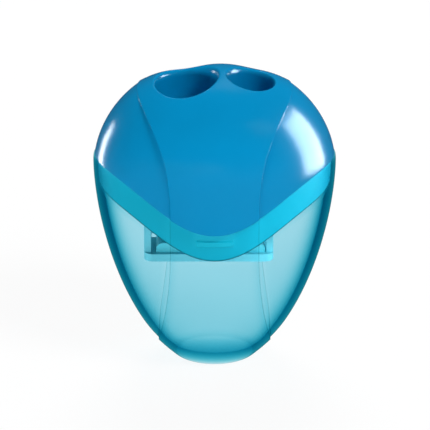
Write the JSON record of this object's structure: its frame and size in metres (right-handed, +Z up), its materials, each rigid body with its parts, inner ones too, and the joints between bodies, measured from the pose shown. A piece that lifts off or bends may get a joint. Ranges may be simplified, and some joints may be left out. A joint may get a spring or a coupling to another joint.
{
  "type": "pencil sharpener",
  "caption": "Hand-held canister pencil sharpener: egg-shaped translucent shavings canister under an opaque lift-off head with a large and a small pencil hole.",
  "frame": {"origin": "middle of the canister's flat foot", "axes": "+Z up through the pencil holes, -Y to the front with the catch, +X to the small pencil hole"},
  "size_m": [0.0492, 0.0364, 0.0618],
  "materials": {
    "canister_plastic": "satin translucent",
    "head_plastic": "gloss",
    "cradle_plastic": "satin",
    "body_plastic": "satin",
    "blade_steel": "ground",
    "screw_steel": "plain"
  },
  "bodies": {
    "canister_body": {"canister": "canister_plastic"},
    "head_body": {"head_shell": "head_plastic", "sharpener_cradle": "cradle_plastic", "large_sharpener_body": "body_plastic", "small_sharpener_body": "body_plastic", "large_blade": "blade_steel", "small_blade": "blade_steel", "large_blade_screw": "screw_steel", "small_blade_screw": "screw_steel", "cradle_screws": "screw_steel"}
  },
  "joints": [
    {"name": "head_lift", "type": "slide", "parent": "canister_body", "child": "head_body", "axis": [0, 0, 1], "range_m": [0, 0.03]}
  ]
}
